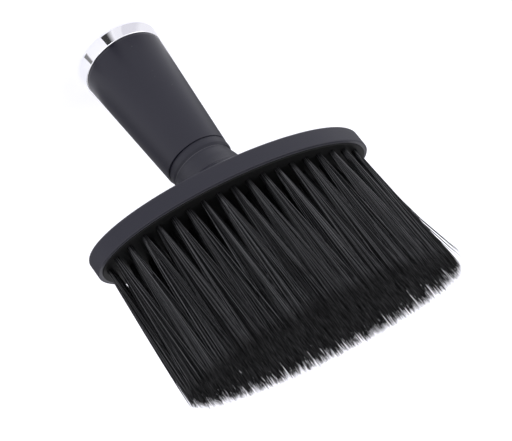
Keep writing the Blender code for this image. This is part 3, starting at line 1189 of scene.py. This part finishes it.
@dataclass
class Bristles:
    """Every filament of the outer tufts and the inner rows."""

    layout: Layout
    nylon: NylonFilament = NylonFilament()
    outer_form: TuftForm = TuftForm(156, 5.5 * MM, 2.3 * MM)
    end_form: TuftForm = TuftForm(156, 5.5 * MM, 2.3 * MM, stray_share=0.08, stray_reach=2.2 * MM)
    end_tufts: tuple[int, ...] = (19, 20, 21)
    # Inner tufts are darker towards the root: painted shade, for the shadow of the outer tufts.
    inner_form: TuftForm = TuftForm(105, 5.0 * MM, 4.2 * MM, 35, root_shadow_tone=0.45)
    seed: int = 5
    row_seed: int = 100
    sides: int = 3
    radius: float = 0.135 * MM
    # Levels of the points along a filament, and its thickness there, as shares of length and radius.
    levels: tuple[float, ...] = (0.0, 0.08, 0.17, 0.28, 0.45, 0.66, 0.88, 1.0)
    taper: tuple[Pair, ...] = ((0.0, 1.0), (0.88, 0.85), (1.0, 0.15))
    root_radius: float = 1.0 * MM
    anchor_depth: float = 4.0 * MM
    anchor_pull: float = 0.12
    bend_height: float = 20.0 * MM
    # Disorder of the filaments and of the locks, and how far single filaments leave their place.
    disorder: Pair = (0.35, 0.6)
    fray: Pair = (0.05, 0.06)
    stray_scatter: float = 0.25
    gather_curve: float = 1.5
    # Bow at mid length, for a whole lock and for one filament.
    lock_bow: float = 0.22 * MM
    filament_bow: float = 0.12 * MM
    # How much shorter than the tallest: spread and range of one filament, spread of a whole lock.
    cut_spread: float = 0.7 * MM
    cut_range: float = 2.0 * MM
    lock_cut_spread: float = 0.4 * MM
    # Range of shades that a lock adds, and of those that single filaments start from.
    lock_tone: Pair = (0.0, 0.25)
    filament_tone: Pair = (-0.35, 1.05)
    # Heights that build takes from the frame.
    face: float = field(init=False)
    tip: float = field(init=False)

    def build(self) -> None:
        """Builds and dresses every tuft."""
        finish = self.nylon.build()
        self.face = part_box("tuft_block")[1].z
        self.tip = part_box("outer_tuft_01")[1].z
        for i, root in enumerate(self.layout.outer(), start=1):
            form = self.end_form if i in self.end_tufts else self.outer_form
            self._add(f"outer_tuft_{i:02d}", [root], form, finish, i)
        for number in range(self.layout.rows):
            name = f"inner_tufts_{number + 1:02d}"
            self._add(name, self.layout.row(number), self.inner_form, finish, self.row_seed + number)

    def _add(
        self, node: str, roots: list[Root], form: TuftForm, finish: bpy.types.Material, number: int
    ) -> None:
        """Makes one piece from the tufts that one frame node stands for.

        Args:
            node: The frame node.
            roots: Its tufts.
            form: How they spread.
            finish: The filaments' material.
            number: Which draw of random numbers the piece takes.
        """
        chance = np.random.default_rng([self.seed, number])
        paths, shades = [], []
        for root in roots:
            path, shade = self.filaments(root, form, chance)
            paths.append(path)
            shades.append(shade)
        mesh = self.tubes(f"{node}_filaments", np.concatenate(paths), np.concatenate(shades))
        obj = Piece(f"{node}_filaments", Slot.BRISTLES, (node,)).place(mesh, finish)
        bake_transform(obj)

    def filaments(
        self, root: Root, form: TuftForm, chance: np.random.Generator
    ) -> tuple[np.ndarray, np.ndarray]:
        """Lays out the filaments of one tuft.

        Args:
            root: The tuft's place.
            form: How it spreads.
            chance: The piece's random numbers.

        Returns:
            The filaments' centre lines, (filaments, points, 3), and their shades, (filaments, points).
        """
        count = form.filaments
        disc = self.disc(count, chance, self.disorder[0])
        locks = self.disc(form.locks, chance, self.disorder[1])
        nearest = np.argmin(((disc[:, None] - locks[None]) ** 2).sum(2), axis=1)
        free = disc * (1.0 + chance.normal(0.0, self.fray[0], (count, 1)))
        free += chance.normal(0.0, self.fray[1], (count, 2))
        spread = np.array([form.half_along, form.half_across])
        tip = free * spread
        pull = (locks[nearest] - free) * spread * form.gather
        stray = (chance.random(form.locks) < form.stray_share)[nearest]
        drift = np.abs(chance.normal(0.0, form.stray_reach, (form.locks, 2)))[nearest]
        scatter = chance.normal(0.0, self.stray_scatter * form.stray_reach, (count, 2))
        leave = pull + (drift + scatter) * stray[:, None]
        bow = chance.normal(0.0, self.lock_bow, (form.locks, 2))[nearest]
        bow = bow + chance.normal(0.0, self.filament_bow, (count, 2))
        short = np.abs(chance.normal(0.0, self.cut_spread, count))
        short += chance.uniform(0.0, self.cut_range, count)
        short += np.abs(chance.normal(0.0, self.lock_cut_spread, form.locks))[nearest]
        length = self.tip - self.face - short
        flat_root = self.in_plane(disc * self.root_radius, root.centre, root.along, root.outward)
        path = np.zeros((count, len(self.levels) + 1, 3))
        for k, share in enumerate(self.levels, start=1):
            local = tip + leave * share**self.gather_curve
            flat_tip = self.in_plane(local, root.tip_centre, root.tip_along, root.tip_outward)
            sway = (bow * 4 * share * (1 - share)) @ np.array([root.along, root.outward])
            path[:, k] = flat_root * (1 - share) + flat_tip * share + sway
            path[:, k, 2] = self.face + share * length
        path[:, 0] = flat_root
        path[:, 0, :2] += (np.array(root.centre)[:2] - flat_root[:, :2]) * self.anchor_pull
        path[:, 0, 2] = self.face - self.anchor_depth
        tone = chance.uniform(*self.lock_tone, form.locks)[nearest]
        tone = tone + chance.uniform(*self.filament_tone, count)
        # Tone rising from the root to the tip: painted shade at the root, where the form asks for it.
        rise = form.root_shadow_tone + (1.0 - form.root_shadow_tone) * np.array([0.0, *self.levels]) ** 2
        return path, np.clip(tone, 0.0, 1.0)[:, None] * rise

    @staticmethod
    def disc(count: int, chance: np.random.Generator, jitter: float) -> np.ndarray:
        """Spreads points evenly over a unit disc, with some disorder.

        Args:
            count: How many points.
            chance: The piece's random numbers.
            jitter: How far each leaves its place, as a share of the spacing.

        Returns:
            The points, (count, 2).
        """
        order = np.arange(count)
        radius = np.sqrt((order + 0.5) / count)
        turn = order * math.pi * (3 - math.sqrt(5)) + chance.uniform(0, 2 * math.pi)
        points = np.stack([radius * np.cos(turn), radius * np.sin(turn)], axis=1)
        return points + chance.normal(0.0, jitter / math.sqrt(count), (count, 2))

    @staticmethod
    def in_plane(local: np.ndarray, centre: Vector, along: Vector, outward: Vector) -> np.ndarray:
        """Places points given along and across a tuft in the frame."""
        return np.array(centre) + local @ np.array([along, outward])

    def tubes(self, name: str, paths: np.ndarray, shades: np.ndarray) -> bpy.types.Mesh:
        """Skins centre lines with thin closed tubes that taper to a point.

        Args:
            name: The mesh's name.
            paths: Centre lines, (filaments, points, 3).
            shades: Shade at each point, 0 to 1, (filaments, points).

        Returns:
            The mesh, with the attributes strand and along.
        """
        count, rings, _ = paths.shape
        run = np.array([0.0, *self.levels])
        taper = np.interp(run, *zip(*self.taper)) * self.radius
        turns = np.arange(self.sides) * 2 * math.pi / self.sides
        circle = np.stack([np.cos(turns), np.sin(turns), np.zeros(self.sides)], axis=1)
        points = paths[:, :, None, :] + taper[None, :, None, None] * circle[None, None]
        index = np.arange(count * rings * self.sides).reshape(count, rings, self.sides)
        low, high = index[:, :-1], index[:, 1:]
        quads = np.stack([low, np.roll(low, -1, 2), np.roll(high, -1, 2), high], axis=-1).reshape(-1, 4)
        caps = np.concatenate([index[:, 0, ::-1], index[:, -1]])
        mesh = bpy.data.meshes.new(name)
        mesh.from_pydata(points.reshape(-1, 3).tolist(), [], quads.tolist() + caps.tolist())
        mesh.shade_smooth()
        # strand: each filament's own tone, with painted shade towards the root on the inner tufts.
        strand = mesh.attributes.new("strand", "FLOAT", "POINT")
        strand.data.foreach_set("value", np.repeat(shades, self.sides).astype(np.float32))
        along = mesh.attributes.new("along", "FLOAT", "POINT")
        along.data.foreach_set("value", np.tile(np.repeat(run, self.sides), count).astype(np.float32))
        return mesh


# ---------------------------------------------------------------------------------------------
# Studio
# ---------------------------------------------------------------------------------------------


@dataclass(frozen=True)
class SoftBox:
    """A square area light that faces the brush."""

    name: str
    azimuth: float
    elevation: float
    distance: float
    size: float
    power: float

    def build(self, aim: Vector) -> None:
        """Makes the light.

        Args:
            aim: The point that it faces.
        """
        light = bpy.data.lights.new(self.name, "AREA")
        light.size = self.size
        light.energy = self.power
        obj = add_object(self.name, light)
        back = direction(self.azimuth, self.elevation)
        obj.location = aim + back * self.distance
        obj.rotation_mode = "QUATERNION"
        obj.rotation_quaternion = back.to_track_quat("Z", "Y")


# Tone of the paper near the brush, which the cards that lie on the pale card fade into.
PALE: Colour = (0.93, 0.925, 0.985)


@dataclass(frozen=True)
class ReflectorCard:
    """A studio card that only reflections see. It puts light and dark bands on the ring and the grip.

    It is a sector of a ring round the handle, flat on the floor unless its outer edge is raised by climb.
    Its tone fades to white over soft_start and soft_end of its sweep, and lean turns its outer edge
    further round than its inner edge.
    """

    name: str
    azimuth: float
    sweep: float
    tone: Colour
    soft_start: float = 0.0
    soft_end: float = 0.0
    lean: float = 0.0
    inner: float = 17.6 * MM
    outer: float = 36.0 * MM
    lift: float = 0.15 * MM
    climb: float = 0.0
    white: Colour = (1.08, 1.08, 1.13)
    steps: int = 24

    def build(self) -> None:
        """Makes the card."""
        points = []
        shades = []
        for k in range(self.steps + 1):
            share = k / self.steps
            turn = self.azimuth + self.sweep * (share - 0.5)
            near = direction(turn, 0.0) * self.inner
            far = direction(turn + self.lean, 0.0) * self.outer
            height = cad_box[0].z + self.lift
            points += [(near.x, near.y, height), (far.x, far.y, height + self.climb)]
            rise = min(1.0, share / self.soft_start) if self.soft_start else 1.0
            fall = min(1.0, (1 - share) / self.soft_end) if self.soft_end else 1.0
            shades += [rise * fall] * 2
        mesh = bpy.data.meshes.new(self.name)
        faces = [(2 * k, 2 * k + 1, 2 * k + 3, 2 * k + 2) for k in range(self.steps)]
        mesh.from_pydata(points, [], faces)
        mesh.attributes.new("shade", "FLOAT", "POINT").data.foreach_set("value", shades)
        sheet = Sheet(self.name)
        glow = sheet.blend(sheet.attribute("shade"), self.white, self.tone)
        mesh.materials.append(
            sheet.set(
                Base_Color=grey(0.0), Specular_IOR_Level=0.0, Emission_Color=glow, Emission_Strength=1.0
            )
        )
        card = add_object(self.name, mesh)
        for kind in ("camera", "diffuse", "shadow", "transmission", "volume_scatter"):
            setattr(card, f"visible_{kind}", False)


@dataclass
class Studio:
    """Floor, lights, surroundings and camera."""

    paper: StudioPaper = StudioPaper()
    aim: Vector = field(default_factory=lambda: Vector((0.0, 0.0, 66.6 * MM)))
    camera_azimuth: float = 24.9
    camera_elevation: float = 29.0
    camera_roll: float = -142.67
    camera_distance: float = 0.8
    camera_right: float = 17.7 * MM
    camera_up: float = -17.1 * MM
    lens: float = 152.9
    far_clip: float = 20.0
    floor_half: float = 4.0
    surround_colour: Colour = (1.0, 1.0, 1.06)
    surround: float = 1.0
    boxes: tuple[SoftBox, ...] = (
        SoftBox("key_light", -62.0, 40.0, 1.0, 0.7, 1.4),
        SoftBox("fill_light", 40.0, 50.0, 1.1, 0.8, 1.6),
        SoftBox("back_light", 190.0, 50.0, 1.2, 0.9, 1.5),
    )
    cards: tuple[ReflectorCard, ...] = (
        ReflectorCard("pale_card", -39.0, 112.0, PALE, 0.1, 0.1),
        ReflectorCard("grey_card", -22.0, 36.0, (0.77, 0.76, 0.83), 0.3, 0.06, lift=0.20 * MM, white=PALE),
        ReflectorCard("dark_card_front", 20.0, 18.0, (0.05, 0.05, 0.052), 0.5, lift=0.25 * MM, white=PALE),
        ReflectorCard(
            "dark_card_side", 60.0, 10.0, (0.24, 0.24, 0.245), 0.35, 0.1, lean=15.0, outer=32.0 * MM
        ),
        ReflectorCard(
            "back_card", 185.0, 190.0, (0.30, 0.30, 0.32), 0.15, 0.15,
            inner=31.0 * MM, outer=220.0 * MM, climb=150.0 * MM,
        ),
    )

    def build(self) -> None:
        """Builds the whole studio."""
        self.build_floor()
        self.build_surround()
        for box in self.boxes:
            box.build(self.aim)
        for card in self.cards:
            card.build()
        self.build_camera()

    def build_floor(self) -> None:
        """A wide pale floor at the height of the frame's lowest point."""
        mesh = bpy.data.meshes.new("floor")
        half = self.floor_half
        corners = [(x * half, y * half, cad_box[0].z) for x, y in ((-1, -1), (1, -1), (1, 1), (-1, 1))]
        mesh.from_pydata(corners, [], [(0, 1, 2, 3)])
        mesh.materials.append(self.paper.build())
        floor = add_object("floor", mesh)

    def build_surround(self) -> None:
        """Even pale light from all round."""
        world = bpy.data.worlds.new("surround")
        world.use_nodes = True
        back = world.node_tree.nodes["Background"]
        back.inputs["Color"].default_value = (*self.surround_colour, 1.0)
        back.inputs["Strength"].default_value = self.surround
        bpy.context.scene.world = world
        bpy.context.scene.view_settings.view_transform = "Standard"

    def build_camera(self) -> None:
        """A long lens from above the front, turned so that the handle points up and to the left."""
        back = direction(self.camera_azimuth, self.camera_elevation)
        forward = -back
        level_up = (Vector((0, 0, 1)) - forward * forward.z).normalized()
        level_right = forward.cross(level_up)
        turn = math.radians(self.camera_roll)
        right = math.cos(turn) * level_right - math.sin(turn) * level_up
        up = math.sin(turn) * level_right + math.cos(turn) * level_up
        camera = bpy.data.cameras.new("camera")
        camera.lens = self.lens
        camera.clip_end = self.far_clip
        obj = add_object("camera", camera)
        place = self.aim + right * self.camera_right + up * self.camera_up + back * self.camera_distance
        axes = Matrix((right, up, back)).transposed().to_4x4()
        obj.matrix_world = Matrix.Translation(place) @ axes
        bpy.context.scene.camera = obj


def write_sizes() -> None:
    """Brings the view layer up to date."""
    bpy.context.view_layer.update()


def main() -> None:
    """Builds every sub-assembly round the frame."""
    logging.basicConfig(level=logging.INFO, format="%(name)s: %(message)s")
    layout = Layout()
    for part in (Studio(), Handle(), Head(layout), Bristles(layout)):
        log.info("building %s", type(part).__name__)
        part.build()
    write_sizes()


if __name__ == "__main__":
    main()
